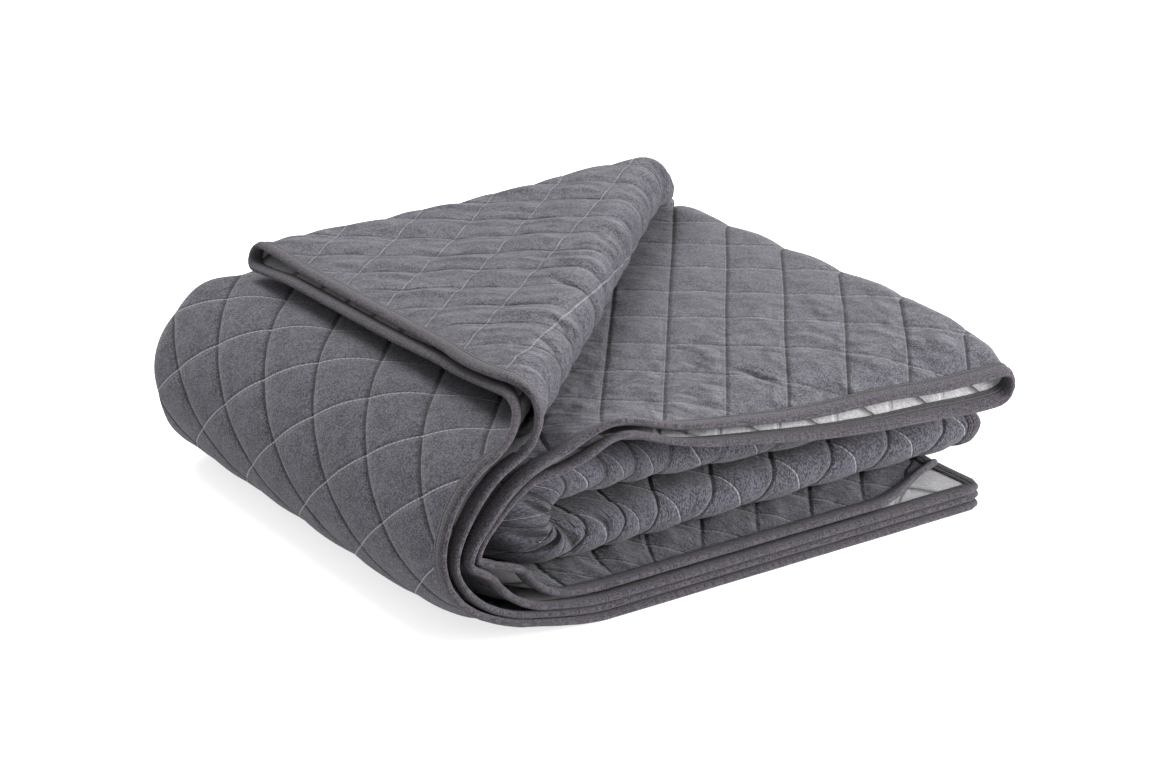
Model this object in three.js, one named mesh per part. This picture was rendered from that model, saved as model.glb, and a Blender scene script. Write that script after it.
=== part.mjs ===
// A quilted bedspread folded to a sixteenth and laid flat, with the front corner of its top pair turned back.
// Folding: in half across with the reverse inside (halves T and U), in half and half again lengthwise
// (panels 1 to 4), then in half across once more, so eight leaves nest in a C that opens to the right.
import * as THREE from "three";

// Millimetres. x runs along the front, y to the back, z up; x = 0 is the axis of the left fold and
// y = 0 the front edge, until the whole is centred at the end.
const HALF_THICK = 2.8; // half of the quilted cloth between seams
const EDGE_HALF = 1.1; // half of it where the binding presses it
const EDGE_TAPER = 30; // width over which the cloth thins to its edge
const PUFF = 3.2; // height of a quilted diamond over its seams
const CLEAR = 0.7; // space between neighbouring pieces
const BIND_THICK = 0.9; // binding cloth
const BIND_WIDTH = 11.5; // binding on each face
const EDGE_WIDTH = 13; // flat margin of the cloth that the binding covers
const PITCH = 10.9; // usual spacing of the leaves
const BACK_AXIS = 487; // y of the folds at the back
const FRONT_AXIS = 64; // y of the tucked fold at the front
const BACK_ROUND = 0.95; // depth of a back fold to half its height
const FRONT_ROUND = 1.15; // the same for the tucked front fold
const HALF_FOLD = 130; // cloth in the upper half of the left fold
const CREASE_START = -34; // where the turned corner's crease leaves the front edge, from the top of the fold
const ROLL = 19; // radius of the roll along that crease
const CREASE_FADE = 54; // length over which the crease opens out before the back fold
const CREASE_FLAT = 0.9; // how far it has opened there
const FLAP_REST = 32; // height of the settled corner over its own pair
const FLAP_SETTLE = 150; // width over which it settles
const FLAP_LOOSE = 0.4; // extra spread of the pair at the turned corner's own fold
const SET_BACK = 14; // how far the upper edge of the turned pair lies behind the lower one
const PROBE = 4; // step for the tangents of the foot under the turned corner

// One row a leaf, from the outside of the C inwards: height of the bottom run and of the top run, depth of
// the left fold, reach of the bottom run to its side edge, reach of the top run to its right fold, depth of
// that fold, lean of the upper left front and push of the tucked leaves away from the left fold at the front.
const LEAVES = [
  { leaf: "T1", bottom: 2.8, top: 168, fold: 78, edge: 482, reach: 474, loop: 11, lean: 0, push: 0 },
  { leaf: "U1", bottom: 10.5, top: 157, fold: 67, edge: 484, reach: 474, loop: 11, lean: 13, push: 0 },
  { leaf: "U4", bottom: 18.5, top: 146, fold: 56, edge: 482, reach: 494, loop: 17, lean: 26, push: 0 },
  { leaf: "T4", bottom: 27.5, top: 134, fold: 46, edge: 482, reach: 494, loop: 17, lean: 30, push: 0 },
  { leaf: "T3", bottom: 38, top: 122, fold: 37, edge: 486, reach: 474, loop: 8, lean: 24, push: 70 },
  { leaf: "U3", bottom: 48, top: 112, fold: 29, edge: 488, reach: 474, loop: 8, lean: 18, push: 78 },
  { leaf: "U2", bottom: 58, top: 102, fold: 21, edge: 494, reach: 480, loop: 8, lean: 12, push: 84 },
  { leaf: "T2", bottom: 68, top: 91, fold: 14, edge: 494, reach: 480, loop: 8, lean: 8, push: 88 },
];
// How the leaves depart from the plain section near the front: by how much, from or at which x (or z) and over
// what width, and the depth y over which it dies away.
const DROOP = { by: 30, from: 110, over: 260, depth: 95 }; // the overhanging edges fall to the right
const HUMP = { by: 24, at: 78, over: 58 }; // and rise over the left fold
const PARTING = { by: 16, from: 330, over: 150 }; // the second pair opens at the right,
const RAISED = { by: 6, from: 260, over: 120 }; // where its upper leaf droops less
// Along its top run the lower edge of that pair comes forward and the upper one is drawn back.
const STAGGER = { lower: 5, upper: 7, from: 1.9, to: 2.9, over: 0.2 };
const SWELL = { by: 4, from: 200, over: 300, start: 60, depth: 100 }; // the upper pairs lie higher at the back
const SAG = { by: 12, from: 60, over: 300, start: 60, depth: 200 }; // the tucked leaves lie lower at the front
// The fourth leaf's free corner lifts, is drawn in and slips back under the tucked leaves, which reach further.
const CORNER = { by: 8, from: 370, over: 90, depth: 46, drawn: 20, tucked: 26, drawnDepth: 200 };
const SLIPPED = { by: 38, from: 370, over: 120, depth: 60 };
const LEAN = { from: 60, over: 90, reach: 140, depth: 110 }; // the upper left front leans to the right
const PLEAT = { by: 40, below: 74, fall: 22, depth: 55, spread: 1.1 }; // its lower left front goes in a pleat
const PUSHED = { start: 30, depth: 150, reach: 190 };
const TOE = { by: 22, from: 80, over: 130, height: 110, depth: 140 }; // the lower left front lifts
// The stretches of each leaf's path: leaf numbers at the panels, and the front edges of panels 1 and 4.
const HALVES = {
  T: { panels: [0, 7, 4, 3], front: [0, 5] },
  U: { panels: [1, 6, 5, 2], front: [2, 0] },
};
// Half diamonds of the quilting across and along the cloth, one for each stretch.
const ACROSS = [16, 8, 16, 1, 16, 8, 16];
const ALONG = [11, 2, 10, 1, 10, 1, 11];
// Where the quilting stands up: stretches across and along, and its share of the full height.
const PUFFED = [
  { part: "left fold", across: [1.12, 1.95], along: [0, 2.1], share: 1 },
  { part: "turned corner", across: [4, 5.3], along: [0, 1.2], share: 1 },
  { part: "upper leaf", across: [3, 5.3], along: [5.8, 7], share: 1 },
  { part: "tucked fold below", across: [0, 0.95], along: [2.8, 4.2], share: 0.6 },
  { part: "tucked fold above", across: [1, 3], along: [2.8, 4.2], share: 0.8 },
];

const clamp = (t, low, high) => Math.min(high, Math.max(low, t));
const smooth = (t) => {
  const s = clamp(t, 0, 1);
  return s * s * (3 - 2 * s);
};
const bell = (t) => Math.exp(-t * t);
const mix = (a, b, t) => a + (b - a) * t;
const fade = (y, width) => clamp(1 - y / width, 0, 1);
const leafValue = (name, k) => {
  const i = clamp(Math.floor(k), 0, LEAVES.length - 2);
  return mix(LEAVES[i][name], LEAVES[i + 1][name], k - i);
};

// Height of the top run: the two upper pairs overhang the tucked fold, so their front edges rise over the
// left fold and droop to the right, where the second pair opens.
const ramp = (x, { from, over }) => smooth((x - from) / over);
function topHeight(k, x, y) {
  const overhang = smooth(4.2 - k) * fade(y, DROOP.depth) ** 2;
  const second = smooth(k - 2) * smooth(4 - k) * fade(y, DROOP.depth) ** 2;
  const tucked = smooth(k - 2.8) * (1 - smooth((y - SAG.start) / SAG.depth));
  return (
    leafValue("top", k) -
    overhang * (DROOP.by * ramp(x, DROOP) - HUMP.by * bell((x - HUMP.at) / HUMP.over)) +
    overhang * RAISED.by * bell((k - 2) / 0.5) * ramp(x, RAISED) -
    second * PARTING.by * ramp(x, PARTING) +
    SWELL.by * smooth(3.5 - k) * ramp(x, SWELL) * smooth((y - SWELL.start) / SWELL.depth) -
    tucked * SAG.by * ramp(x, SAG)
  );
}
// Height of the bottom run: flat, but the fourth leaf's free corner lifts.
const fourth = (k) => bell((k - 3) / 0.45);
function bottomHeight(k, x, y) {
  return leafValue("bottom", k) + fourth(k) * fade(y, CORNER.depth) * CORNER.by * ramp(x, CORNER);
}
// A leaf in cross-section. c: 0 to 1 bottom run from the right, 1 to 2 left fold, 2 to 3 top run.
function section(c, k, y, beyond) {
  const turn = (clamp(c, 1, 2) - 1.5) * Math.PI;
  const drawn = (CORNER.drawn * fourth(k) - CORNER.tucked * smooth(k - 3.4)) * fade(y, CORNER.drawnDepth);
  const xBottom = (leafValue("edge", k) - drawn) * clamp(1 - c, 0, 1);
  const xTop = leafValue("reach", k) * clamp(c - 2, 0, 1) + beyond;
  const low = bottomHeight(k, 0, y);
  const high = topHeight(k, 0, y);
  let x = xBottom + xTop - leafValue("fold", k) * Math.cos(turn);
  let z = (low + high) / 2 + ((high - low) / 2) * Math.sin(turn);
  if (c < 1) z = bottomHeight(k, xBottom, y);
  if (c > 2) z = topHeight(k, xTop, y);
  const nearFold = smooth(1 - x / PUSHED.reach);
  x += leafValue("lean", k) * fade(y, LEAN.depth) ** 2 * ramp(z, LEAN) * smooth(1 - x / LEAN.reach);
  const pleat = bell((k - 3) / PLEAT.spread) * bell(y / PLEAT.depth) * smooth((PLEAT.below - z) / PLEAT.fall);
  x += PLEAT.by * pleat * nearFold;
  x += leafValue("push", k) * fade(y - PUSHED.start, PUSHED.depth) ** 2 * nearFold;
  z += TOE.by * fade(y, TOE.depth) ** 2 * smooth((TOE.from - x) / TOE.over) * clamp(1 - z / TOE.height, 0, 1);
  return [x, z];
}
// Leaf number and depth y of one half at v: 0 to 1 panel 1, 1 to 2 back fold, 2 to 3 panel 2, 3 to 4 tucked
// front fold, 4 to 5 panel 3, 5 to 6 back fold, 6 to 7 panel 4.
function lengthwise(half, v) {
  const { panels, front } = HALVES[half];
  const stretch = clamp(Math.floor(v), 0, 6);
  const t = v - stretch;
  const panel = stretch / 2;
  if (stretch % 2 === 0) {
    const from = [front[0], BACK_AXIS, FRONT_AXIS, BACK_AXIS][panel];
    const to = [BACK_AXIS, FRONT_AXIS, BACK_AXIS, front[1]][panel];
    return [panels[panel], mix(from, to, t)];
  }
  const a = panels[(stretch - 1) / 2];
  const b = panels[(stretch + 1) / 2];
  const depth = (Math.abs(a - b) / 2) * PITCH * Math.sin(t * Math.PI);
  const k = (a + b) / 2 + ((a - b) / 2) * Math.cos(t * Math.PI);
  return stretch === 3 ? [k, FRONT_AXIS - depth * FRONT_ROUND] : [k, BACK_AXIS + depth * BACK_ROUND];
}
// A point of the folded cloth before the corner is turned; share 0 is the half T, 1 the half U.
function nested(c, beyond, share, v) {
  const [kT, yT] = lengthwise("T", v);
  const [kU, yU] = lengthwise("U", v);
  const { lower, upper, from, to, over } = STAGGER;
  const stagger = clamp(v - 6, 0, 1) * smooth((c - from) / over) * smooth((to - c) / over);
  const y = mix(yT - lower * stagger, yU + upper * stagger, share);
  const k = mix(kT, kU, share);
  const [x, z] = section(c, k, y, beyond);
  const slipped = SLIPPED.by * fourth(k) * fade(y, SLIPPED.depth) * ramp((1 - c) * leafValue("edge", k), SLIPPED);
  return new THREE.Vector3(x, y + slipped, z);
}
const REACH = LEAVES[0].reach;
const BACK_CLOTH = Math.PI * 3 * PITCH; // cloth in the outer back fold
const alongOf = (v) => (v < 1 ? v * BACK_AXIS : BACK_AXIS + (v - 1) * BACK_CLOTH);
const vOf = (along) => (along < BACK_AXIS ? along / BACK_AXIS : 1 + (along - BACK_AXIS) / BACK_CLOTH);
const acrossOf = (c) => (c > 2 ? (c - 2) * REACH : (c - 2) * 2 * HALF_FOLD);
const cOf = (across) => 2 + across / (across > 0 ? REACH : 2 * HALF_FOLD);
const onTop = (across, share, along) =>
  nested(Math.min(cOf(across), 3), Math.max(across - REACH, 0), share, clamp(vOf(along), 0, 7));
// The middle of the cloth at u (0 to 3 half T from its side edge, 3 to 4 right fold, 4 to 7 half U) and v.
function cloth(u, v) {
  const round = clamp(u - 3, 0, 1) * Math.PI;
  const share = (1 - Math.cos(round)) / 2;
  const c = u < 3 ? u : u > 4 ? 7 - u : 3;
  const [k] = lengthwise("T", v);
  const beyond = leafValue("loop", k) * Math.sin(round);
  const across = acrossOf(c) + beyond;
  const flat = CREASE_FLAT * smooth((alongOf(v) - BACK_AXIS) / CREASE_FADE + 1);
  const pastAt = (along) => (across - CREASE_START - along) * Math.SQRT1_2 * (1 - flat);
  if (pastAt(alongOf(v)) <= 0 || v > 2) return nested(c, beyond, share, v);
  const settled = smooth((pastAt(alongOf(v)) - Math.PI * ROLL) / FLAP_SETTLE);
  const along = alongOf(v) + SET_BACK * share * clamp(1 - v, 0, 1) * settled;
  const past = pastAt(along);
  // Foot of the point on the crease, with the tangents there.
  const footAcross = across - past * Math.SQRT1_2;
  const footAlong = along + past * Math.SQRT1_2;
  const foot = onTop(footAcross, share, footAlong);
  const right = onTop(footAcross + PROBE, share, footAlong)
    .sub(onTop(footAcross - PROBE, share, footAlong))
    .normalize();
  const back = onTop(footAcross, share, footAlong + PROBE)
    .sub(onTop(footAcross, share, footAlong - PROBE))
    .normalize();
  const up = right.clone().cross(back).normalize();
  const offset = (0.5 - share) * PITCH;
  const angle = clamp(past / ROLL, 0, Math.PI);
  const over = Math.max(past - Math.PI * ROLL, 0);
  const loose = FLAP_LOOSE * smooth((across - REACH + 80) / 80) * (1 - Math.cos(angle));
  const radius = ROLL - offset;
  const lateral = (radius * Math.sin(angle) - over) * Math.SQRT1_2;
  const fall = (2 * ROLL - FLAP_REST) * smooth(over / FLAP_SETTLE);
  const lift = radius * (1 - Math.cos(angle)) - fall - offset * loose;
  return foot.addScaledVector(right, lateral).addScaledVector(back, -lateral).addScaledVector(up, lift);
}
const STEP = 0.004;
// Unit vectors at a point: across and along the cloth, and out of its face.
function frameAt(u, v) {
  const a = cloth(clamp(u + STEP, 0, 7), v).sub(cloth(clamp(u - STEP, 0, 7), v)).normalize();
  const b = cloth(u, clamp(v + STEP, 0, 7)).sub(cloth(u, clamp(v - STEP, 0, 7))).normalize();
  return { across: a, along: b, out: a.clone().cross(b).normalize() };
}
const counted = (stretches, t) => {
  const whole = clamp(Math.floor(t), 0, stretches.length - 1);
  return stretches.slice(0, whole).reduce((sum, n) => sum + n, 0) + stretches[whole] * (t - whole);
};
const toSeam = (t) => 2 * Math.abs(t - Math.round(t));
// Distances in millimetres from the nearest edge, near enough for the taper to the binding.
const edgeDistance = (u, v) => {
  const wide = Math.min(u * LEAVES[0].edge, (7 - u) * LEAVES[1].edge);
  return Math.min(wide, v * BACK_AXIS, (7 - v) * BACK_AXIS);
};
// The inner half of the outer pair, where it isn't turned back, is pressed flat on the upper leaf.
const pressed = (u, v) => u > 3.5 && v < 2 && acrossOf(7 - u) - CREASE_START < alongOf(v);
function puffAt(u, v) {
  if (pressed(u, v)) return 0;
  const i = counted(ACROSS, u);
  const j = counted(ALONG, v);
  const share = PUFFED.reduce((most, { across, along, share: s }) => {
    const inside = u >= across[0] && u <= across[1] && v >= along[0] && v <= along[1];
    return inside ? Math.max(most, s) : most;
  }, 0);
  const height = Math.min(1, 1.5 * Math.sqrt(toSeam((i + j) / 2) * toSeam((i - j) / 2)));
  return PUFF * share * height * smooth((edgeDistance(u, v) - EDGE_WIDTH) / EDGE_TAPER);
}
const halfThick = (u, v) => mix(EDGE_HALF, HALF_THICK, smooth((edgeDistance(u, v) - EDGE_WIDTH) / EDGE_TAPER));

// Stations: rows along the cloth and, for each kind of row, where it is cut on the bottom runs and the cells of
// every other stretch. Rows at the front edges follow the pleat and the lifted corner, the hidden ones are
// coarse. Where a row meets the crease it is cut at even turns of the roll.
const spread = (from, to, cells) => Array.from({ length: cells + 1 }, (_, i) => mix(from, to, i / cells));
const EDGE_U = EDGE_WIDTH / LEAVES[0].edge;
const EDGE_V = EDGE_WIDTH / BACK_AXIS;
const LOWER = {
  outer: [0, EDGE_U, 0.35, 0.72, 0.82, 0.91],
  lifted: [0, EDGE_U, 0.06, 0.1, 0.15, 0.22, 0.5, 0.72, 0.82, 0.91],
  plain: [0, EDGE_U, 0.4, 0.75],
};
const KINDS = {
  front: { lowerT: LOWER.outer, foldT: 12, topT: 16, loop: 6, topU: 16, foldU: 12, lowerU: LOWER.outer },
  outer: { lowerT: LOWER.plain, foldT: 8, topT: 16, loop: 6, topU: 16, foldU: 8, lowerU: LOWER.plain },
  tucked: { lowerT: LOWER.plain, foldT: 8, topT: 5, loop: 4, topU: 5, foldU: 8, lowerU: LOWER.plain },
  inner: { lowerT: LOWER.plain, foldT: 8, topT: 6, loop: 4, topU: 16, foldU: 8, lowerU: LOWER.plain },
  pleat: { lowerT: LOWER.lifted, foldT: 14, topT: 16, loop: 6, topU: 16, foldU: 12, lowerU: LOWER.outer },
};
const LINES = ALONG[0]; // lines of the quilting along panels 1 and 4
const ROWS = [
  { kind: "front", at: [0, EDGE_V, ...spread(1 / LINES, 3 / LINES, 2)] },
  { kind: "outer", at: [...spread(4 / LINES, 1, 7), 1.2, 1.4, 1.6] },
  { kind: "tucked", at: [1.8, 2, 2.5, 3, 3.2, 3.4, 3.6, 3.8, 4, 4.5, 5, 5.2, 5.4] },
  { kind: "inner", at: [5.6, 5.8, ...spread(6, 7 - 4 / LINES, 7)] },
  { kind: "pleat", at: [7 - 3 / LINES, 7 - 2 / LINES, 7 - 1 / LINES, 7 - EDGE_V, 7] },
].flatMap(({ kind, at }) => at.map((v) => ({ kind, v })));
const ROLL_CELLS = 7;
const ROLL_WIDTH = Math.PI * ROLL * Math.SQRT2;
const ROLL_MARGIN = 16; // least distance of other stations from the roll
const rollAt = (v) => (v > 1 ? [REACH, REACH] : [0, ROLL_WIDTH].map((a) => a + CREASE_START + alongOf(v)));
const inRoll = (c, v, margin) => {
  const [from, to] = rollAt(v);
  return c < 3 && acrossOf(c) > from - margin && acrossOf(c) < to + margin;
};
function stationsOf(kind, v) {
  const { lowerT, foldT, topT, loop, topU, foldU, lowerU } = KINDS[kind];
  const [from, to] = rollAt(v);
  const cells = [foldT, topT, loop, topU, foldU];
  const middle = cells.flatMap((n, i) => spread(i + 1, i + 2, n).slice(0, n));
  const beside = v > EDGE_V ? [v] : [0, EDGE_V];
  const clearOf = (u) => beside.every((row) => !inRoll(Math.min(u, 7 - u), row, ROLL_MARGIN));
  const plain = [...lowerT, ...middle, 6, ...lowerU.map((u) => 7 - u)].filter(clearOf);
  const rolled = spread(from, to, ROLL_CELLS).filter((a) => a < REACH - ROLL_MARGIN / 2).map(cOf);
  return [...plain, ...rolled, ...rolled.map((c) => 7 - c)].sort((a, b) => a - b);
}
// Distance across the cloth, for joining one row to the next one, whose roll lies further to the right.
const LOOP_WIDTH = 100;
function joiningOf({ us, v }, shift) {
  const [, to] = rollAt(v);
  return us.map((u) => {
    const c = Math.min(u, 7 - u);
    if (c > 3) return REACH + (u - 3) * LOOP_WIDTH;
    const across = acrossOf(c);
    const moved = inRoll(c, v, 0.01) ? across + shift : across > to ? Math.max(across, to + shift) : across;
    return u < 3.5 ? moved : 2 * REACH + LOOP_WIDTH - moved;
  });
}

// A closed mesh from a list of triangles of points.
class Body {
  constructor() {
    this.points = [];
    this.faces = [];
  }
  point(p) {
    this.points.push(p);
    return this.points.length - 1;
  }
  // Strip between two rows of points, each with its stations and its places for joining; up tells which way a
  // square cell is split.
  strip(rowA, rowB, flip, up) {
    let a = 0;
    let b = 0;
    const put = (p, q, r) => this.faces.push(flip ? [p, r, q] : [p, q, r]);
    while (a < rowA.ids.length - 1 || b < rowB.ids.length - 1) {
      const nextA = a < rowA.ids.length - 1 ? rowA.at[a + 1] : Infinity;
      const nextB = b < rowB.ids.length - 1 ? rowB.at[b + 1] : Infinity;
      const level = Math.abs(nextA - nextB) < 1e-3;
      const takeA = level ? !up(rowA.us[a], rowA.v) : nextA < nextB;
      if (takeA) {
        put(rowA.ids[a], rowA.ids[a + 1], rowB.ids[b]);
        a += 1;
      } else {
        put(rowA.ids[a], rowB.ids[b + 1], rowB.ids[b]);
        b += 1;
      }
    }
  }
  mesh(name, material) {
    const flat = this.faces.flatMap((f) => f.flatMap((i) => this.points[i].toArray()));
    const geometry = new THREE.BufferGeometry();
    geometry.setAttribute("position", new THREE.Float32BufferAttribute(flat, 3));
    geometry.computeVertexNormals();
    const mesh = new THREE.Mesh(geometry, material);
    mesh.name = name;
    return mesh;
  }
}
// Which way a cell is split: mitred at the corners, one way along each edge, else along a seam.
function rising(u, v) {
  const [lowU, highU] = [u < EDGE_U / 2, u > 7 - 1.5 * EDGE_U];
  const [lowV, highV] = [v < EDGE_V / 2, v > 7 - 1.5 * EDGE_V];
  if ((lowU || highU) && (lowV || highV)) return lowU === lowV;
  if (lowU || lowV) return false;
  if (highU || highV) return true;
  return Math.round(counted(ACROSS, u) + counted(ALONG, v)) % 2 === 0;
}
// The cloth between two offsets from its middle, each a function of u and v.
function panel(outer, inner) {
  const body = new Body();
  const rowsOf = (offset) =>
    ROWS.map(({ kind, v }) => {
      const us = stationsOf(kind, v);
      const ids = us.map((u) => body.point(cloth(u, v).addScaledVector(frameAt(u, v).out, offset(u, v))));
      return { us, at: us, ids, v };
    });
  const face = rowsOf(outer);
  const reverse = rowsOf(inner);
  for (let r = 0; r + 1 < ROWS.length; r += 1) {
    const shift = alongOf(ROWS[r + 1].v) - alongOf(ROWS[r].v);
    [face, reverse].forEach((rows) => {
      const near = { ...rows[r], at: joiningOf(rows[r], shift) };
      const far = { ...rows[r + 1], at: joiningOf(rows[r + 1], 0) };
      body.strip(near, far, rows === reverse, rising);
    });
  }
  const last = ROWS.length - 1;
  const never = () => false;
  body.strip(reverse[0], face[0], false, never);
  body.strip(face[last], reverse[last], false, never);
  const side = (rows, pick) => ({
    us: rows.map((row) => row.v),
    at: rows.map((row) => row.v),
    ids: rows.map((row) => row.ids[pick(row)]),
  });
  const first = () => 0;
  const end = (row) => row.ids.length - 1;
  body.strip(side(face, first), side(reverse, first), false, never);
  body.strip(side(reverse, end), side(face, end), false, never);
  return body;
}
// A strip of binding folded over one edge, mitred at both ends. place(t, inward) gives u and v for a point
// at station t along the edge and a distance in from it.
function binding(stations, turned, place) {
  const body = new Body();
  const put = (a, b, c) => body.faces.push(turned ? [a, c, b] : [a, b, c]);
  const loops = stations.map((t, i) => {
    const end = i === 0 ? 1 : i === stations.length - 1 ? -1 : 0;
    const hold = EDGE_HALF + CLEAR;
    const round = hold + BIND_THICK;
    const profile = [
      [BIND_WIDTH, hold],
      [BIND_WIDTH, round],
      [-CLEAR - BIND_THICK, round],
      [-CLEAR - BIND_THICK, -round],
      [BIND_WIDTH, -round],
      [BIND_WIDTH, -hold],
      [-CLEAR, -hold],
      [-CLEAR, hold],
    ];
    return profile.map(([inward, off]) => body.point(place(t, inward, end, off)));
  });
  const n = loops[0].length;
  for (let i = 0; i + 1 < loops.length; i += 1)
    for (let j = 0; j < n; j += 1) {
      const [p, q, r, s] = [loops[i][j], loops[i][(j + 1) % n], loops[i + 1][j], loops[i + 1][(j + 1) % n]];
      const crossed = j === 1 || j === 5;
      put(p, r, crossed ? s : q);
      put(crossed ? p : q, crossed ? s : r, crossed ? q : s);
    }
  const cap = [[0, 1, 2], [0, 2, 7], [2, 3, 7], [7, 3, 6], [3, 4, 6], [6, 4, 5]];
  cap.forEach(([a, b, c]) => {
    const last = loops[loops.length - 1];
    put(loops[0][a], loops[0][b], loops[0][c]);
    put(last[a], last[c], last[b]);
  });
  return body;
}
// A point at distances in from the nearer side edge and end edge; negative ones lie outside the cloth.
function atEdges(u, v, uInward, vInward, off) {
  const { across, along, out } = frameAt(u, v);
  const p = cloth(u, v).addScaledVector(out, off);
  if (uInward < 0) p.addScaledVector(across, u < 3.5 ? uInward : -uInward);
  if (vInward < 0) p.addScaledVector(along, v < 3.5 ? vInward : -vInward);
  return p;
}
const MITRE = 0.2;
const fromEnd = (d, whole) => Math.max(d, 0) / whole;
// End edges run across the cloth at v = 0 and v = 7; the side edges run along it at u = 0 and u = 7.
const endBinding = (low) =>
  binding(low ? stationsOf("front", 0) : stationsOf("pleat", 7), low, (t, inward, end, off) => {
    const v = low ? fromEnd(inward, BACK_AXIS) : 7 - fromEnd(inward, BACK_AXIS);
    const c = Math.min(t, 7 - t);
    const turned = low && inRoll(c, 0, 0.01) ? cOf(acrossOf(c) + Math.max(inward, 0)) : c;
    if (!end) return atEdges(t < 3.5 ? turned : t > 4 ? 7 - turned : t, v, 1, inward, off);
    const side = inward + MITRE;
    const u = end > 0 ? fromEnd(side, LEAVES[0].edge) : 7 - fromEnd(side, LEAVES[0].edge);
    return atEdges(u, v, side, inward, off);
  });
const sideBinding = (low) =>
  binding(ROWS.map((row) => row.v), !low, (t, inward, end, off) => {
    const u = low ? fromEnd(inward, LEAVES[0].edge) : 7 - fromEnd(inward, LEAVES[0].edge);
    if (!end) return atEdges(u, t, inward, 1, off);
    const side = inward + MITRE;
    const v = end > 0 ? fromEnd(side, BACK_AXIS) : 7 - fromEnd(side, BACK_AXIS);
    return atEdges(u, v, inward, side, off);
  });

const paint = (color, roughness) => new THREE.MeshStandardMaterial({ color, roughness, metalness: 0 });
const meshes = [
  panel((u, v) => halfThick(u, v) + puffAt(u, v), (u, v) => -halfThick(u, v))
    .mesh("quilted_panel", paint(0x5c5c63, 0.95)),
  endBinding(true).mesh("binding_end_outer", paint(0x58575c, 0.9)),
  endBinding(false).mesh("binding_end_inner", paint(0x58575c, 0.9)),
  sideBinding(true).mesh("binding_side_lower", paint(0x58575c, 0.9)),
  sideBinding(false).mesh("binding_side_upper", paint(0x58575c, 0.9)),
];
const box = new THREE.Box3();
meshes.forEach((mesh) => box.expandByObject(mesh));
const centre = box.getCenter(new THREE.Vector3());
const part = new THREE.Group();
part.name = "bedspread";
meshes.forEach((mesh) => {
  mesh.geometry.translate(-centre.x, -centre.y, -box.min.z);
  part.add(mesh);
});
export default part;
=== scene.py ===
import math

import bpy
import numpy as np
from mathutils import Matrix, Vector


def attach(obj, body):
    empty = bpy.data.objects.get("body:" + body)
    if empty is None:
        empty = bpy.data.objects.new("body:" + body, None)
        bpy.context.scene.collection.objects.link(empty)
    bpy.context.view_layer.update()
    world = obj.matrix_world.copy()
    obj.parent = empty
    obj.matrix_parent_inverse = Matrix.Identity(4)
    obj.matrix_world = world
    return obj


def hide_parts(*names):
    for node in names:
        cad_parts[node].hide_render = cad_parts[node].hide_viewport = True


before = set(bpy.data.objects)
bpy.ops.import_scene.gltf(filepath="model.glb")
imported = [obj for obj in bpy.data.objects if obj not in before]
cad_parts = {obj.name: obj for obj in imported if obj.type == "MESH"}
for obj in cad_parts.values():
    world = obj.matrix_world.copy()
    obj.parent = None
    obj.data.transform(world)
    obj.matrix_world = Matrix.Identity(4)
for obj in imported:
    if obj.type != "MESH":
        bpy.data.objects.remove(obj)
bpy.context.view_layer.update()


# The dark face: brushed melange jersey, quilted to thin wadding and a light back by a pale thread and cut to
# size with them. The cloth is folded in half across with its back inside (halves T and U), in half and half
# again lengthwise (panels 1 to 4), then in half across once more, so eight leaves nest in a C.

# Leaves are counted from the outermost, 0, to the innermost, 7. The C opens to the right, and the front
# corner of the outer pair is turned back. Sizes are in millimetres, with x from the left fold's axis.
STRETCHES = 7
PITCH = 10.9
BACK_AXIS = 487
FRONT_AXIS = 64
HALF_FOLD = 130
REACH = 474

# One value for each leaf: its height below and above the opening, how far its left fold bulges, the length
# of its lower and upper side, the bulge of its right loop, and how far its front leans or is pushed right.
LEAF = {
    "bottom": [2.8, 10.5, 18.5, 27.5, 38, 48, 58, 68],
    "top": [168, 157, 146, 134, 122, 112, 102, 91],
    "fold": [78, 67, 56, 46, 37, 29, 21, 14],
    "edge": [482, 484, 482, 482, 486, 488, 494, 494],
    "reach": [474, 474, 494, 494, 474, 474, 480, 480],
    "loop": [11, 11, 17, 17, 8, 8, 8, 8],
    "lean": [0, 13, 26, 30, 24, 18, 12, 8],
    "push": [0, 0, 0, 0, 70, 78, 84, 88],
}
WIDTH_T, WIDTH_U = LEAF["edge"][:2]


def leaf(name, k):
    return np.interp(k, np.arange(len(LEAF[name])), LEAF[name])


def smooth(t):
    s = np.clip(t, 0, 1)
    return s * s * (3 - 2 * s)


def bell(t):
    return np.exp(-t * t)


def fade(y, width):
    return np.clip(1 - y / width, 0, 1)


def ramp(x, start, over):
    return smooth((x - start) / over)


# Above the opening the outer leaves droop at the front right and swell behind, and the inner ones sink.
def top_height(k, x, y):
    front = fade(y, 95) ** 2
    lifted = 24 * bell((x - 78) / 58) + 6 * bell((k - 2) / 0.5) * ramp(x, 260, 120)
    droop = smooth(4.2 - k) * front * (30 * ramp(x, 110, 260) - lifted)
    parted = smooth(k - 2) * smooth(4 - k) * front * 16 * ramp(x, 330, 150)
    swell = 4 * smooth(3.5 - k) * ramp(x, 200, 300) * ramp(y, 60, 100)
    sunk = smooth(k - 2.8) * (1 - ramp(y, 60, 200)) * 12 * ramp(x, 60, 300)
    return leaf("top", k) - droop - parted + swell - sunk


# Below it, only leaf 3 is raised a little, at its front right corner.
def bottom_height(k, x, y):
    return leaf("bottom", k) + bell((k - 3) / 0.45) * fade(y, 46) * 8 * ramp(x, 370, 90)


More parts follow.
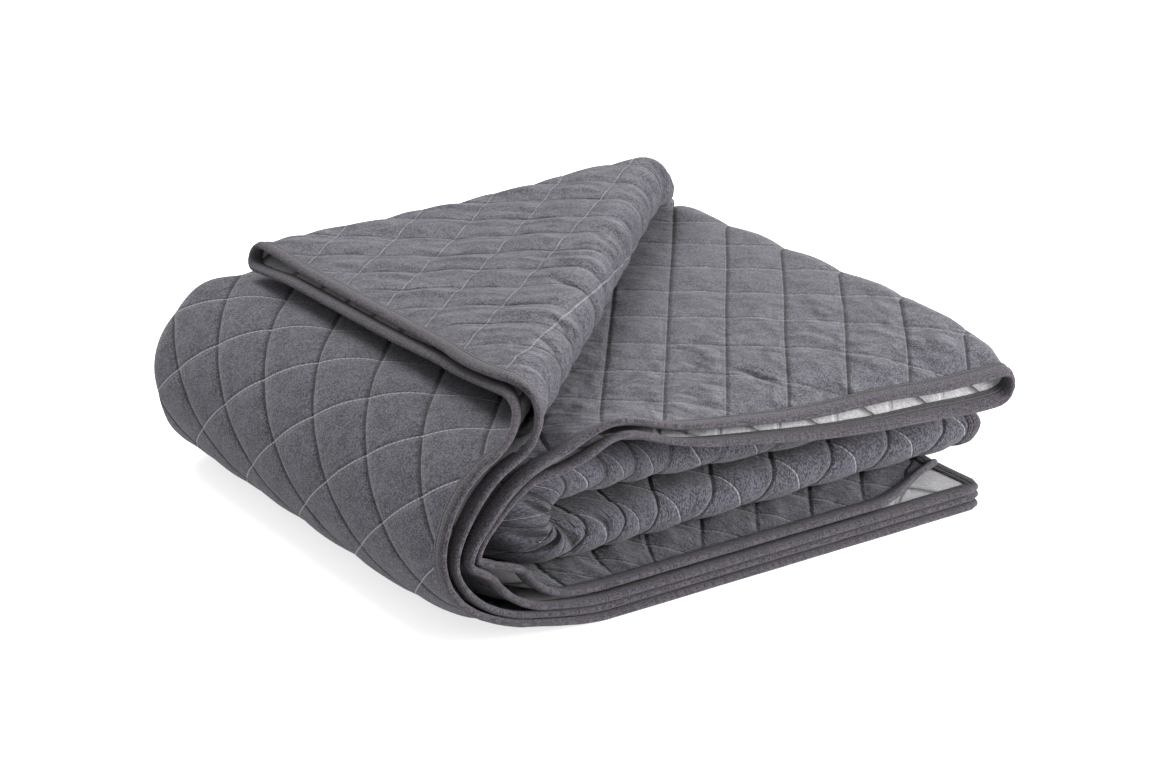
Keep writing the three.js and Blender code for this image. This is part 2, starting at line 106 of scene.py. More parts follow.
# A leaf seen from the front: c runs from 0 to 1 along the bottom, to 2 round the left fold and to 3 on top.
def section(c, k, y, beyond):
    turn = (np.clip(c, 1, 2) - 1.5) * np.pi
    drawn = 20 * bell((k - 3) / 0.45) * fade(y, 200)
    drawn = drawn - 26 * smooth(k - 3.4) * fade(y, 200)
    x_low = (leaf("edge", k) - drawn) * np.clip(1 - c, 0, 1)
    x_high = leaf("reach", k) * np.clip(c - 2, 0, 1) + beyond
    low = bottom_height(k, 0, y)
    high = top_height(k, 0, y)
    x = x_low + x_high - leaf("fold", k) * np.cos(turn)
    z = (low + high) / 2 + (high - low) / 2 * np.sin(turn)
    z = np.where(c < 1, bottom_height(k, x_low, y), z)
    z = np.where(c > 2, top_height(k, x_high, y), z)
    near_fold = smooth(1 - x / 190)
    x = x + leaf("lean", k) * fade(y, 110) ** 2 * ramp(z, 60, 90) * smooth(1 - x / 140)
    x = x + 40 * bell((k - 3) / 1.1) * bell(y / 55) * near_fold * smooth((74 - z) / 22)
    x = x + leaf("push", k) * fade(y - 30, 150) ** 2 * near_fold
    z = z + 22 * fade(y, 140) ** 2 * smooth((80 - x) / 130) * np.clip(1 - z / 110, 0, 1)
    return x, z


# The leaf on which each panel of a half lies, and where the half's two ends lie at the front.
PANELS_T, FRONT_T = np.array([0, 7, 4, 3]), (0, 5)
PANELS_U, FRONT_U = np.array([1, 6, 5, 2]), (2, 0)


def lengthwise(panels, front, v):
    stretch = np.clip(np.floor(v), 0, STRETCHES - 1).astype(int)
    t = v - stretch
    leaves = np.repeat(panels, 2)
    a, b = leaves[:-1][stretch], leaves[1:][stretch]
    turns = [front[0], BACK_AXIS, BACK_AXIS, FRONT_AXIS, FRONT_AXIS, BACK_AXIS, BACK_AXIS, front[1]]
    start, stop = np.array(turns[:-1])[stretch], np.array(turns[1:])[stretch]
    bulge = np.array([0, 0.95, 0, -1.15, 0, 0.95, 0])[stretch] * np.abs(a - b) / 2 * PITCH
    k = (a + b) / 2 + (a - b) / 2 * np.cos(t * np.pi)
    return k, start + (stop - start) * t + bulge * np.sin(t * np.pi)


def nested(c, beyond, share, v):
    k_t, y_t = lengthwise(PANELS_T, FRONT_T, v)
    k_u, y_u = lengthwise(PANELS_U, FRONT_U, v)
    stagger = np.clip(v - 6, 0, 1) * smooth((c - 1.9) / 0.2) * smooth((2.9 - c) / 0.2)
    y = y_t - 5 * stagger + (y_u - y_t + 12 * stagger) * share
    k = k_t + (k_u - k_t) * share
    x, z = section(c, k, y, beyond)
    slipped = 38 * bell((k - 3) / 0.45) * fade(y, 60)
    y = y + slipped * ramp((1 - c) * leaf("edge", k), 370, 120)
    return np.stack([x, y, z], -1)


# The length of cloth that goes round the outer back fold.
BACK_CLOTH = np.pi * 3 * PITCH


def along_of(v):
    return np.where(v < 1, v * BACK_AXIS, BACK_AXIS + (v - 1) * BACK_CLOTH)


def on_top(across, share, along):
    c = np.minimum(2 + np.where(across > 0, across / REACH, across / (2 * HALF_FOLD)), 3)
    v = np.where(along < BACK_AXIS, along / BACK_AXIS, 1 + (along - BACK_AXIS) / BACK_CLOTH)
    return nested(c, np.maximum(across - REACH, 0), share, np.clip(v, 0, STRETCHES))


def unit(w):
    return w / np.linalg.norm(w, axis=-1, keepdims=True)


# The four corners of the cloth are cut a little round.
def rounded(u, v):
    corner = 16
    free_u = np.clip(1 - np.minimum(u, STRETCHES - u) * WIDTH_T / corner, 0, 1)
    free_v = np.clip(1 - np.minimum(v, STRETCHES - v) * BACK_AXIS / corner, 0, 1)
    drawn = 0.29 * corner * (free_u * free_v) ** 1.3
    inward_u = np.where(u < STRETCHES / 2, drawn, -drawn) / WIDTH_T
    inward_v = np.where(v < STRETCHES / 2, drawn, -drawn) / BACK_AXIS
    return u + inward_u, v + inward_v


# u runs across the cloth: 0 to 3 is half T from its side edge, 3 to 4 the right fold, 4 to 7 half U. v runs
# along it through panel 1, back fold, panel 2, tucked front fold, panel 3, back fold and panel 4. What lies
# past the slanting crease is rolled back over the top.
def folded(u, v):
    u, v = rounded(u, v)
    bend = np.clip(u - 3, 0, 1) * np.pi
    share = (1 - np.cos(bend)) / 2
    c = np.where(u < 3, u, np.where(u > 4, STRETCHES - u, 3.0))
    k_t, _ = lengthwise(PANELS_T, FRONT_T, v)
    beyond = leaf("loop", k_t) * np.sin(bend)
    points = nested(c, beyond, share, v)
    across = (c - 2) * np.where(c > 2, REACH, 2 * HALF_FOLD) + beyond
    crease = 34
    roll = 19
    slant = math.sqrt(0.5)
    along = along_of(v)
    opened = 0.9 * smooth((along - BACK_AXIS - 6) / 36 + 1)
    past = (across + crease - along) * slant * (1 - opened)
    along = along + 9 * share * np.clip(1 - v, 0, 1) * smooth((past - 60) / 150)
    past = (across + crease - along) * slant * (1 - opened)
    turned = (past > 0) & (v <= 2)
    past, across, along, share = past[turned], across[turned], along[turned], share[turned]
    foot_across = across - past * slant
    foot_along = along + past * slant
    foot = on_top(foot_across, share, foot_along)
    right = unit(on_top(foot_across + 4, share, foot_along) - on_top(foot_across - 4, share, foot_along))
    back = unit(on_top(foot_across, share, foot_along + 4) - on_top(foot_across, share, foot_along - 4))
    up = unit(np.cross(right, back))
    offset = (0.5 - share) * PITCH
    angle = np.clip(past / roll, 0, np.pi)
    over = np.maximum(past - np.pi * roll, 0)
    loose = 0.4 * smooth((across - REACH + 80) / 80) * (1 - np.cos(angle))
    lateral = ((roll - offset) * np.sin(angle) - over) * slant
    lift = (roll - offset) * (1 - np.cos(angle)) - 6 * smooth(over / 150) - offset * loose
    points[turned] = foot + (right - back) * lateral[:, None] + up * lift[:, None]
    return points


def cloth_axes(u, v):
    step = 0.004
    a = unit(folded(np.clip(u + step, 0, STRETCHES), v) - folded(np.clip(u - step, 0, STRETCHES), v))
    b = unit(folded(u, np.clip(v + step, 0, STRETCHES)) - folded(u, np.clip(v - step, 0, STRETCHES)))
    return a, b, unit(np.cross(a, b))


FRAME_X = 216.1
FRAME_Y = 262.225
LEAST_HEIGHT = 0.2


def to_frame(points):
    x = points[..., 0] - FRAME_X
    y = points[..., 1] - FRAME_Y
    z = np.maximum(points[..., 2], LEAST_HEIGHT)
    return np.stack([x, y, z], -1) / 1000


# Two families of seams cross in long diamonds of about 60 by 88 mm. Half diamonds are counted across and
# along each stretch of the folded cloth. On the outer leaf, the turned corner and the upper leaf the cloth
# has slipped a little on the bias, so there the seams lie askew.
ACROSS = np.array([16, 8, 16, 1, 16, 8, 16])
ALONG = np.array([11, 2, 10, 1, 10, 1, 11])
HALF_WIDE = 29.6
HALF_LONG = 43.5


def counted(stretches, t):
    return np.interp(t, np.arange(STRETCHES + 1), np.concatenate([[0], np.cumsum(stretches)]))


def flat_place(u, v):
    return counted(ACROSS, u) * HALF_WIDE / 1000, counted(ALONG, v) * HALF_LONG / 1000


def crinkle(x, y, seed):
    size = 64
    table = np.random.RandomState(seed).rand(size, size)
    x0, y0 = np.floor(x).astype(int), np.floor(y).astype(int)
    fx, fy = smooth(x - x0), smooth(y - y0)
    x1, y1 = (x0 + 1) % size, (y0 + 1) % size
    x0, y0 = x0 % size, y0 % size
    low = table[x0, y0] * (1 - fx) + table[x1, y0] * fx
    high = table[x0, y1] * (1 - fx) + table[x1, y1] * fx
    return low * (1 - fy) + high * fy - 0.5


def from_seam(field):
    return np.sin(np.pi * np.abs(field - np.round(field)))


def seam_fields(u, v):
    i, j = counted(ACROSS, u), counted(ALONG, v)
    outer = smooth((1.7 - v) / 0.6)
    left = smooth((2.9 - u) / 0.6) * outer
    turned = smooth((u - 3.3) / 0.6) * outer
    upper = smooth((u - 3.3) / 0.6) * smooth((v - 5.3) / 0.6)
    white = (i + j) / 2 + left * (1.7 - 0.085 * i - 0.039 * j)
    white = white + turned * (3.09 - 0.066 * i + 0.039 * j) + upper * (9.53 - 0.215 * i - 0.013 * j)
    dark = (i - j) / 2 + left * (1.9 - 0.096 * i - 0.016 * j) + upper * (1.22 - 0.022 * i - 0.009 * j)
    dark = dark + turned * (0.16 * crinkle(i * 0.8, j * 0.8, 19) + 0.09 * from_seam(white))
    return white, dark


def edge_distance(u, v):
    wide = np.minimum(u * WIDTH_T, (STRETCHES - u) * WIDTH_U)
    return np.minimum(wide, np.minimum(v, STRETCHES - v) * BACK_AXIS)


# Creases pressed into the cloth: both ends on the flat cloth in metres, and how deep.
CREASES = (
    (1.435, 1.915, 1.41, 1.965, 1),
    (1.455, 1.88, 1.45, 1.91, 0.6),
    (1.475, 1.93, 1.455, 1.945, 0.5),
    (1.505, 1.935, 1.49, 1.96, 0.4),
    (1.445, 1.845, 1.435, 1.865, 0.35),
    (1.36, 0.27, 1.39, 0.255, 0.5),
    (1.445, 0.165, 1.485, 0.17, 0.6),
    (1.565, 0.07, 1.59, 0.08, 0.7),
    (1.53, 0.11, 1.56, 0.11, 0.6),
    (0.632, 1.034, 0.598, 1.014, 1.2),
    (0.58, 1.037, 0.542, 1.017, 1.4),
    (0.538, 1.038, 0.498, 1.01, 1.6),
    (0.486, 1.006, 0.458, 1.032, 1.6),
    (0.436, 1.004, 0.424, 1.024, 0.8),
)


def creased(x, y):
    reach = 14
    out_of_reach = 20.0
    away, depth = np.full(len(x), out_of_reach), np.zeros(len(x))
    for x0, y0, x1, y1, pressed in CREASES:
        run = math.hypot(x1 - x0, y1 - y0)
        t = ((x - x0) * (x1 - x0) + (y - y0) * (y1 - y0)) / run ** 2
        across = ((x - x0) * (y1 - y0) - (y - y0) * (x1 - x0)) / run * 1000
        near = (np.abs(across) < reach) & (t > 0) & (t < 1)
        away = np.where(near, across, away)
        depth = np.where(near, pressed * np.sin(np.pi * t) * smooth((reach - np.abs(across)) / 6), depth)
    return away, depth


def cut(stretches, parts):
    spans = [np.linspace(s, s + 1, int(n * p) + 1)[:-1] for s, (n, p) in enumerate(zip(stretches, parts))]
    return np.concatenate(spans + [[STRETCHES]])


def cloth_mesh(name, us, vs, height, facing):
    u, v = (g.ravel() for g in np.meshgrid(us, vs))
    _, _, out = cloth_axes(u, v)
    points = to_frame(folded(u, v) + out * (facing * height(u, v))[:, None])
    nu, nv = len(us), len(vs)
    r, c = (g.ravel() for g in np.meshgrid(np.arange(nv - 1), np.arange(nu - 1), indexing="ij"))
    a, b, d, e = r * nu + c, r * nu + c + 1, (r + 1) * nu + c, (r + 1) * nu + c + 1
    corners = np.concatenate([np.stack([a, b, e], -1), np.stack([a, e, d], -1)])
    if facing < 0:
        corners = corners[:, ::-1]
    # Maps for the material: the flat cloth in metres, the seam count, where it is slack, and the creases.
    flat = flat_place(u, v)
    top = smooth((u - 3.6) / 0.3) * smooth((5.4 - u) / 0.2)
    upper = top * smooth((v - 5.7) / 0.2) * (0.25 + 0.75 * smooth((v - 6.5) / 0.3))
    low = smooth((1.1 - u) / 0.2) * smooth((v - 6) / 0.2)
    slack = (upper, top * smooth((1.3 - v) / 0.2) + 0.6 * low)
    maps = {"flat": flat, "seams": seam_fields(u, v), "slack": slack, "creases": creased(*flat)}
    return filled_mesh(name, points, corners, maps)


def filled_mesh(name, points, corners, maps):
    mesh = bpy.data.meshes.new(name)
    mesh.vertices.add(len(points))
    mesh.vertices.foreach_set("co", points.ravel())
    mesh.loops.add(corners.size)
    mesh.loops.foreach_set("vertex_index", corners.ravel())
    mesh.polygons.add(len(corners))
    mesh.polygons.foreach_set("loop_start", np.arange(0, corners.size, 3))
    mesh.polygons.foreach_set("use_smooth", np.ones(len(corners), bool))
    for map_name, (x, y) in maps.items():
        layer = mesh.uv_layers.new(name=map_name)
        layer.data.foreach_set("uv", np.stack([x[corners.ravel()], y[corners.ravel()]], -1).ravel())
    mesh.update(calc_edges=True)
    mesh.validate()
    piece = bpy.data.objects.new(name, mesh)
    bpy.context.collection.objects.link(piece)
    return piece


# The wadding puffs up between the seams. One family of seams shows its thread on top, the other lies in deep
# creases. Ripples run between the seams where the cloth is slack, and hidden leaves are pressed flatter.
HALF_THICK = 0.9
UNDER_TAPE = 11


def face_height(u, v):
    white, dark = seam_fields(u, v)
    edge = edge_distance(u, v)
    inside = smooth((edge - UNDER_TAPE) / 26)
    turned = smooth((u - 3.9) / 0.1) * smooth((5.4 - u) / 0.1) * smooth((1.3 - v) / 0.2)
    upper = smooth((u - 3.2) / 0.2) * smooth((5.4 - u) / 0.2) * smooth((v - 5.8) / 0.2)
    left = smooth((u - 0.9) / 0.2) * smooth((2.4 - u) / 0.2) * smooth((1.6 - v) / 0.3)
    tucked = smooth((3 - u) / 0.1) * smooth((v - 2.85) / 0.1) * smooth((4.15 - v) / 0.1)
    crown = 3.6 - 0.6 * left - 0.4 * turned - 0.2 * upper - 0.6 * tucked
    ripple = turned * 3.4 * crinkle(dark * 3.6, white * 1.1, 3)
    ripple = ripple + upper * smooth((v - 6.4) / 0.4) * 2.8 * crinkle(white * 3.7, dark * 2.1, 5)
    ripple = ripple + 1.2 * crinkle(white * 2.2, dark * 2.2, 7)
    drawn_in = 1.6 + 3.4 * smooth((1.1 - u) / 0.2) * smooth((v - 6.3) / 0.3)
    pucker = drawn_in * smooth((46 - edge) / 34) * crinkle(white * 5.5 + dark * 5.5, edge / 24, 17)
    puff = from_seam(dark) ** (0.6 + 0.5 * turned + 0.3 * tucked)
    puff = puff * (1 - (0.42 + 0.2 * upper) * (1 - from_seam(white) ** 0.7))
    between = np.maximum(smooth((u - 5.4) / 0.2), smooth((v - 4.3) / 0.2) * smooth((5.7 - v) / 0.2))
    puff = puff * (1 - 0.5 * between)
    away, depth = creased(*flat_place(u, v))
    return HALF_THICK + inside * (0.3 + (crown + ripple) * puff + pucker - 1.8 * depth * bell(away / 6))


def node_of(tree, kind, **settings):
    made = tree.nodes.new(kind)
    for key, value in settings.items():
        setattr(made, key, value)
    return made


def worked(tree, operation, *values):
    made = node_of(tree, "ShaderNodeMath", operation=operation)
    for socket, value in zip(made.inputs, values):
        if isinstance(value, (int, float)):
            socket.default_value = value
        else:
            tree.links.new(value, socket)
    return made.outputs[0]


def product(tree, first, *others):
    for other in others:
        first = worked(tree, "MULTIPLY", first, other)
    return first


def eased(tree, value, low, high, at_low, at_high):
    made = node_of(tree, "ShaderNodeMapRange", interpolation_type="SMOOTHSTEP")
    tree.links.new(value, made.inputs["Value"])
    for key, number in (("From Min", low), ("From Max", high), ("To Min", at_low), ("To Max", at_high)):
        made.inputs[key].default_value = number
    return made.outputs["Result"]


def blended(tree, amount, first, second, kind="MIX"):
    made = node_of(tree, "ShaderNodeMix", data_type="RGBA", blend_type=kind)
    for socket, value in zip((made.inputs[0], made.inputs[6], made.inputs[7]), (amount, first, second)):
        if isinstance(value, (int, float)):
            socket.default_value = value
        elif isinstance(value, tuple):
            socket.default_value = (*value, 1)
        else:
            tree.links.new(value, socket)
    return made.outputs[2]


def grain(tree, map_name, across, along, detail):
    place = node_of(tree, "ShaderNodeUVMap", uv_map=map_name)
    stretch = node_of(tree, "ShaderNodeMapping")
    stretch.inputs["Scale"].default_value = (across, along, 1)
    noise = node_of(tree, "ShaderNodeTexNoise", noise_dimensions="2D")
    noise.inputs["Scale"].default_value = 1
    noise.inputs["Detail"].default_value = detail
    noise.inputs["Roughness"].default_value = 0.6
    tree.links.new(place.outputs["UV"], stretch.inputs["Vector"])
    tree.links.new(stretch.outputs["Vector"], noise.inputs["Vector"])
    return noise.outputs["Fac"]


def cloth_shader(name, roughness, sheen):
    material = bpy.data.materials.new(name)
    material.use_nodes = True
    shader = material.node_tree.nodes["Principled BSDF"]
    shader.inputs["Roughness"].default_value = roughness
    shader.inputs["Specular IOR Level"].default_value = 0.12
    shader.inputs["Sheen Weight"].default_value = sheen
    shader.inputs["Sheen Roughness"].default_value = 0.7
    return material, material.node_tree, shader


MILLIMETRE = 0.001


def bumped(tree, height, strength, under=None):
    bump = node_of(tree, "ShaderNodeBump")
    bump.inputs["Strength"].default_value = strength
    bump.inputs["Distance"].default_value = MILLIMETRE
    tree.links.new(height, bump.inputs["Height"])
    if under:
        tree.links.new(under, bump.inputs["Normal"])
    return bump.outputs["Normal"]


def map_parts(tree, map_name):
    place = node_of(tree, "ShaderNodeUVMap", uv_map=map_name)
    parts = node_of(tree, "ShaderNodeSeparateXYZ")
    tree.links.new(place.outputs["UV"], parts.inputs[0])
    return parts.outputs["X"], parts.outputs["Y"]


# Thread, painted highlight lips and painted shade in the valleys are drawn by the distance in millimetres
# from the nearest seam. A stitch and its gap are repeated along the way from one crossing to the next.
SEAM_GAP = 49
CROSSING_GAP = 53
QUILT_STITCH = 4


def quilted_cloth(name, dark, light, thread, valley, gloom):
    material, tree, shader = cloth_shader(name, roughness=0.95, sheen=0.08)
    # Fibres: specks, tufts and clouds of a dark and a light shade.
    fine, tufts, clouds = (grain(tree, "flat", *size, 2) for size in ((820, 580), (320, 240), (70, 55)))
    fibres = worked(tree, "MULTIPLY_ADD", clouds, 0.26, worked(tree, "MULTIPLY_ADD", tufts, 0.4, fine))
    jersey = blended(tree, eased(tree, fibres, 0.67, 0.99, 0, 1), dark, light)
    # How far a point lies from a thread seam and from a sunk seam, and on which side of the sunk one.
    white, sunk = map_parts(tree, "seams")
    upper, turned = map_parts(tree, "slack")
    from_white = worked(tree, "MULTIPLY", worked(tree, "PINGPONG", white, 0.5), SEAM_GAP)
    from_sunk = worked(tree, "MULTIPLY", worked(tree, "PINGPONG", sunk, 0.5), SEAM_GAP)
    centred = worked(tree, "SUBTRACT", worked(tree, "FRACT", worked(tree, "ADD", sunk, 0.5)), 0.5)
    side = worked(tree, "MULTIPLY", centred, SEAM_GAP)
    # Thread: stitches and gaps, partly hidden where the cloth is slack.
    beat = worked(tree, "FRACT", worked(tree, "MULTIPLY", sunk, CROSSING_GAP / QUILT_STITCH))
    stitch = product(tree, eased(tree, from_white, 0.3, 0.8, 1, 0), eased(tree, beat, 0.72, 0.85, 1, 0.3))
    loose = worked(tree, "MULTIPLY_ADD", turned, 0.6, eased(tree, upper, 0.05, 0.2, 0, 0.85))
    hidden = product(tree, loose, eased(tree, grain(tree, "seams", 3.1, 4.3, 1), 0.38, 0.62, 1, 0.45))
    stitch = product(tree, stitch, worked(tree, "SUBTRACT", 1, hidden))
    # Sunk seams: painted shade on one side, and on the other a painted highlight lip in the thread's colour;
    #     # both are weaker where the turned corner is slack.
    slackened = product(tree, turned, eased(tree, grain(tree, "seams", 1.3, 0.9, 1), 0.4, 0.6, 0.8, 0.3))
    tight = worked(tree, "SUBTRACT", 1, slackened)
    shade = product(tree, eased(tree, side, -valley, -0.5, 0, 0.95), eased(tree, side, 0, 0.5, 1, 0), tight)
    thread_and_highlight_lip = product(tree, eased(tree, side, 0.1, 0.5, 0, 0.22), eased(tree, side, 0.7, 1.5, 1, 0), tight)
    sewn_and_painted_light = blended(tree, shade, jersey, (gloom, gloom, gloom), "MULTIPLY")
    # Painted shade in the shallow grooves beside the thread seams.
    sewn_and_painted_light = blended(tree, eased(tree, from_white, 0.6, 2.2, 0.27, 0), sewn_and_painted_light, (0.5, 0.5, 0.5), "MULTIPLY")
    sewn_and_painted_light = blended(tree, thread_and_highlight_lip, blended(tree, stitch, sewn_and_painted_light, thread), thread)
    # Pressed creases: painted shade in their hollows.
    off_crease, depth = map_parts(tree, "creases")
    from_crease = worked(tree, "ABSOLUTE", off_crease)
    painted_crease_shade = product(tree, depth, eased(tree, from_crease, 0.4, 2.8, 1, 0))
    sewn_and_painted_light = blended(tree, painted_crease_shade, sewn_and_painted_light, (gloom, gloom, gloom), "MULTIPLY")
    tree.links.new(sewn_and_painted_light, shader.inputs["Base Color"])
    # Low relief: the cloth is drawn down at seams and creases, and wrinkled where it is slack.
    drawn = product(tree, tight, eased(tree, from_sunk, 0, 4, 0, 1.6))
    drawn = worked(tree, "ADD", drawn, eased(tree, from_white, 0, 3.5, 0, 0.9))
    pulls = product(tree, grain(tree, "seams", 7.5, 7.5, 2), eased(tree, from_sunk, 2, 18, 1.4, 0.5))
    deep = eased(tree, grain(tree, "seams", 1.2, 1.5, 1), 0.36, 0.64, 2, 7)
    wrinkled = product(tree, upper, grain(tree, "seams", 3.4, 1.7, 1), deep)
    rippled = product(tree, turned, grain(tree, "seams", 0.9, 3.2, 0), deep, 0.6)
    trough = product(tree, depth, eased(tree, from_crease, 0, 7, -4, 0))
    surface = drawn
    for form in (pulls, wrinkled, rippled, trough):
        surface = worked(tree, "ADD", surface, form)
    raised = worked(tree, "MULTIPLY_ADD", fibres, 0.16, product(tree, stitch, 0.3))
    sewn_surface = bumped(tree, surface, 1)
    tree.links.new(bumped(tree, raised, 1, sewn_surface), shader.inputs["Normal"])
    return material


FACE_ACROSS = cut(ACROSS, (4, 7, 4, 8, 9, 3, 2))
FACE_ALONG = cut(ALONG, (8, 7, 1.5, 20, 1.5, 8, 8))
face = cloth_mesh("quilted_face", FACE_ACROSS, FACE_ALONG, face_height, 1)
DARK_FIBRE = (0.0135, 0.0128, 0.0164)
LIGHT_FIBRE = (0.0665, 0.0641, 0.0805)
PALE_THREAD = (0.158, 0.157, 0.169)
VALLEY_WIDTH = 3.3
VALLEY_SHADE = 0.22
face_seams = (PALE_THREAD, VALLEY_WIDTH, VALLEY_SHADE)
face.data.materials.append(quilted_cloth("melange_jersey", DARK_FIBRE, LIGHT_FIBRE, *face_seams))
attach(face, "root")
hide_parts("quilted_panel")


# The light back: plain pale jersey, quilted together with the face. It shows inside the pair of leaves that
# opens at the front right, under the turned corner and at the lower right corner.
def back_height(u, v):
    white, dark = seam_fields(u, v)
    inside = smooth((edge_distance(u, v) - UNDER_TAPE) / 20)
    shown = smooth((u - 1.5) / 0.2) * smooth((5 - u) / 0.2) * smooth((v - 6.6) / 0.2)
    puff = from_seam(dark) ** 0.6 * (0.5 + 0.5 * from_seam(white) ** 0.7)
    crown = 1.9 + 1.6 * shown + 0.9 * crinkle(white * 2, dark * 2, 11)
    return HALF_THICK + inside * (0.2 + crown * puff)


BACK_ACROSS = cut(ACROSS, (3, 3, 4, 8, 4, 3, 2))
BACK_ALONG = cut(ALONG, (3, 4, 1, 6, 1, 6, 5))
PALE_SHADE = (0.23, 0.225, 0.234)
PALE_FIBRE = (0.33, 0.324, 0.335)
BACK_THREAD = (0.27, 0.268, 0.276)
back = cloth_mesh("light_back", BACK_ACROSS, BACK_ALONG, back_height, -1)
BACK_VALLEY_WIDTH = 9
BACK_VALLEY_SHADE = 0.1
back_seams = (BACK_THREAD, BACK_VALLEY_WIDTH, BACK_VALLEY_SHADE)
back.data.materials.append(quilted_cloth("pale_jersey", PALE_SHADE, PALE_FIBRE, *back_seams))
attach(back, "root")
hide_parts("quilted_panel")


# The edge bindings: jersey tape about 25 mm wide, folded over the raw edge, mitred at the corners and held
# by two rows of stitches through both sides of the cloth.
TAPE = [(12.7, 1.0), (12.3, 2.0), (10.4, 2.4), (8.6, 2.4), (5.4, 3.2), (2, 3.1), (-0.6, 2.2), (-1.8, 0)]
TAPE = TAPE + [(inward, -off) for inward, off in TAPE[-2::-1]]


def bound(name, stations, place):
    inward, off = (np.array(column, float) for column in zip(*TAPE))
    loops = []
    for order, t in enumerate(stations):
        mitre = 1 if order == 0 else -1 if order == len(stations) - 1 else 0
        loops.append(place(np.full(len(inward), t), inward, mitre))
    u, v, u_in, v_in = (np.concatenate(column) for column in zip(*loops))
    a, b, out = cloth_axes(u, v)
    rise = np.tile(off, len(stations)) * (1 + 0.12 * crinkle(u * 40, v * 40, 13))
    points = folded(u, v) + out * rise[:, None]
    points = points + a * (np.minimum(u_in, 0) * np.where(u < STRETCHES / 2, 1, -1))[:, None]
    points = points + b * (np.minimum(v_in, 0) * np.where(v < STRETCHES / 2, 1, -1))[:, None]
    points = to_frame(points)
    n = len(inward)
    r, c = (g.ravel() for g in np.meshgrid(np.arange(len(stations) - 1), np.arange(n - 1), indexing="ij"))
    p, q, s, t = r * n + c, r * n + c + 1, (r + 1) * n + c, (r + 1) * n + c + 1
    corners = np.concatenate([np.stack([p, q, t], -1), np.stack([p, t, s], -1)])
    middle = points.reshape(-1, n, 3)[:, n // 2]
    run = np.concatenate([[0], np.cumsum(np.linalg.norm(np.diff(middle, axis=0), axis=1))])
    across = np.tile(np.where(off < 0, -1, 1) * inward / 1000, len(stations))
    outward = points - to_frame(folded(u, v))
    if np.sum(np.cross(points[q] - points[p], points[s] - points[p]) * outward[p]) < 0:
        corners = corners[:, ::-1]
    return filled_mesh(name, points, corners, {"tape": (np.repeat(run, n), across)})


def end_edge(low):
    def place(t, inward, mitre):
        v = np.maximum(inward, 0) / BACK_AXIS
        u_in = np.ones_like(inward)
        if mitre:
            u_in = inward
            t = np.maximum(inward, 0) / WIDTH_T
            t = t if mitre > 0 else STRETCHES - t
        return t, v if low else STRETCHES - v, u_in, inward
    return place


def side_edge(low):
    def place(t, inward, mitre):
        u = np.maximum(inward, 0) / WIDTH_T
        v_in = np.ones_like(inward)
        if mitre:
            v_in = inward
            t = np.maximum(inward, 0) / BACK_AXIS
            t = t if mitre > 0 else STRETCHES - t
        return u if low else STRETCHES - u, t, inward, v_in
    return place


TAPE_DARK = (0.0123, 0.0104, 0.0131)
TAPE_LIGHT = (0.054, 0.0464, 0.0582)
TAPE_THREAD = (0.06, 0.058, 0.063)
ROW_SHADE = (0.28, 0.28, 0.28)
STITCH_ROWS = (8.6, 11.3)
TAPE_STITCH = 3.2


def binding_tape():
    material, tree, shader = cloth_shader("ribbed_tape", roughness=0.92, sheen=0.08)
    tufts, fine = (grain(tree, "tape", *size, 2) for size in ((240, 480), (640, 980)))
    fibres = worked(tree, "MULTIPLY_ADD", tufts, 0.5, fine)
    tape = blended(tree, eased(tree, fibres, 0.6, 0.92, 0, 1), TAPE_DARK, TAPE_LIGHT)
    along, across = map_parts(tree, "tape")
    from_edge = worked(tree, "MULTIPLY", worked(tree, "ABSOLUTE", across), 1000)
    rows = [worked(tree, "ABSOLUTE", worked(tree, "SUBTRACT", from_edge, row)) for row in STITCH_ROWS]
    from_row = worked(tree, "MINIMUM", *rows)
    beat = worked(tree, "FRACT", worked(tree, "MULTIPLY", along, 1000 / TAPE_STITCH))
    stitch = product(tree, eased(tree, from_row, 0.25, 0.6, 1, 0), eased(tree, beat, 0.66, 0.8, 1, 0))
    # Painted shade in the grooves of the stitch rows, which are also sunk in the relief below.
    groove_and_shade = eased(tree, from_row, 0.4, 1.5, 1, 0)
    tape = blended(tree, groove_and_shade, tape, ROW_SHADE, "MULTIPLY")
    tree.links.new(blended(tree, stitch, tape, TAPE_THREAD), shader.inputs["Base Color"])
    ribs = worked(tree, "PINGPONG", from_edge, 0.7)
    surface = bumped(tree, worked(tree, "MULTIPLY_ADD", ribs, 0.5, product(tree, groove_and_shade, -1.2)), 0.8)
    raised = worked(tree, "MULTIPLY_ADD", fibres, 0.2, product(tree, stitch, 0.5))
    tree.links.new(bumped(tree, raised, 0.8, surface), shader.inputs["Normal"])
    return material


def clear_of_mitres(cuts, length):
    tape_width = 14
    margin = tape_width / length
    clear = cuts[(cuts > margin) & (cuts < STRETCHES - margin)]
    return np.concatenate([[0], clear, [STRETCHES]])


tape_material = binding_tape()
stations_u = clear_of_mitres(FACE_ACROSS, WIDTH_T)
stations_v = clear_of_mitres(FACE_ALONG, BACK_AXIS)
for name, stations, place in (
    ("binding_end_outer", stations_u, end_edge(True)),
    ("binding_end_inner", stations_u, end_edge(False)),
    ("binding_side_lower", stations_v, side_edge(True)),
    ("binding_side_upper", stations_v, side_edge(False)),
):
    tape = bound("tape_" + name, stations, place)
    tape.data.materials.append(tape_material)
    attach(tape, "root")
    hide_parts(name)


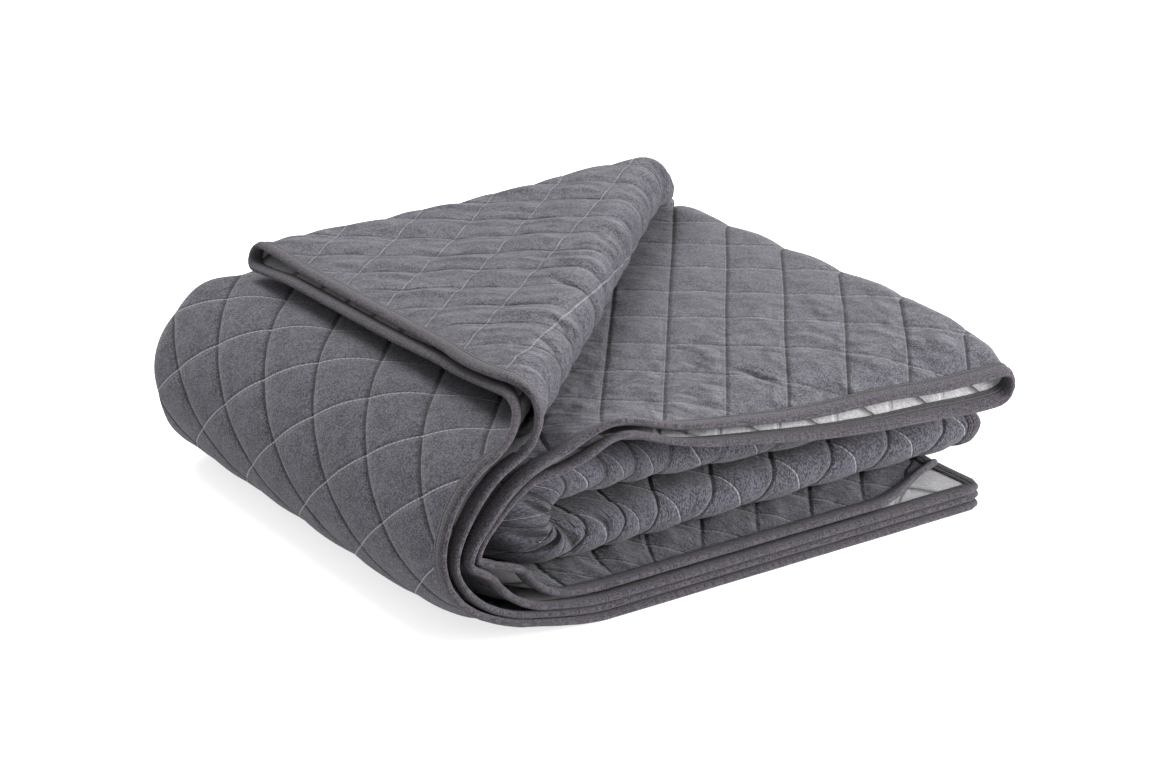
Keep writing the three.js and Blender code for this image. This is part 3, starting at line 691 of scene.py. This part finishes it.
# The studio: a plain pale floor that glows a little, so that it reads white, under one large soft light from
# behind and one from the front right. The camera looks from the front left and a little above.
FLOOR_REACH = 6
FLOOR_GREY = 0.45
FLOOR_GLOW = 0.7
SKY_STRENGTH = 1.12
WHITE = (1, 1, 1, 1)
floor_corners = [(x * FLOOR_REACH, y * FLOOR_REACH, 0) for x, y in ((-1, -1), (1, -1), (1, 1), (-1, 1))]
floor_mesh = bpy.data.meshes.new("floor")
floor_mesh.from_pydata(floor_corners, [], [(0, 1, 2, 3)])
floor = bpy.data.objects.new("floor", floor_mesh)
bpy.context.collection.objects.link(floor)
floor_paint = bpy.data.materials.new("pale_floor")
floor_paint.use_nodes = True
floor_shader = floor_paint.node_tree.nodes["Principled BSDF"]
floor_shader.inputs["Base Color"].default_value = (FLOOR_GREY, FLOOR_GREY, FLOOR_GREY, 1)
floor_shader.inputs["Roughness"].default_value = 0.9
floor_shader.inputs["Emission Color"].default_value = WHITE
floor_shader.inputs["Emission Strength"].default_value = FLOOR_GLOW
floor_mesh.materials.append(floor_paint)

sky = bpy.data.worlds.new("studio")
sky.use_nodes = True
sky.node_tree.nodes["Background"].inputs["Color"].default_value = WHITE
sky.node_tree.nodes["Background"].inputs["Strength"].default_value = SKY_STRENGTH
bpy.context.scene.world = sky


def soft_light(name, place, aim, size, power):
    lamp = bpy.data.lights.new(name, "AREA")
    lamp.shape = "SQUARE"
    lamp.size = size
    lamp.energy = power
    held = bpy.data.objects.new(name, lamp)
    held.location = place
    held.rotation_euler = (Vector(aim) - Vector(place)).to_track_quat("-Z", "Y").to_euler()
    bpy.context.collection.objects.link(held)


STACK_MIDDLE = (0, 0, 0.1)
soft_light("back_light", place=(-0.1, 2, 2.7), aim=STACK_MIDDLE, size=1.8, power=175)
soft_light("front_fill", place=(1.6, -2.1, 0.7), aim=STACK_MIDDLE, size=1.6, power=170)

SENSOR_WIDTH = 36
FOCAL_PIXELS = 2700
PHOTO_PIXELS = 1170
camera = bpy.data.objects.new("camera", bpy.data.cameras.new("camera"))
camera.data.lens = SENSOR_WIDTH * FOCAL_PIXELS / PHOTO_PIXELS
camera.data.clip_end = 50
camera.location = (-1.269, -1.877, 0.955)
aim = Vector((0.0389, 0.0328, 0.066))
camera.rotation_euler = (aim - camera.location).to_track_quat("-Z", "Y").to_euler()
bpy.context.collection.objects.link(camera)
bpy.context.scene.camera = camera
bpy.context.scene.view_settings.view_transform = "Standard"
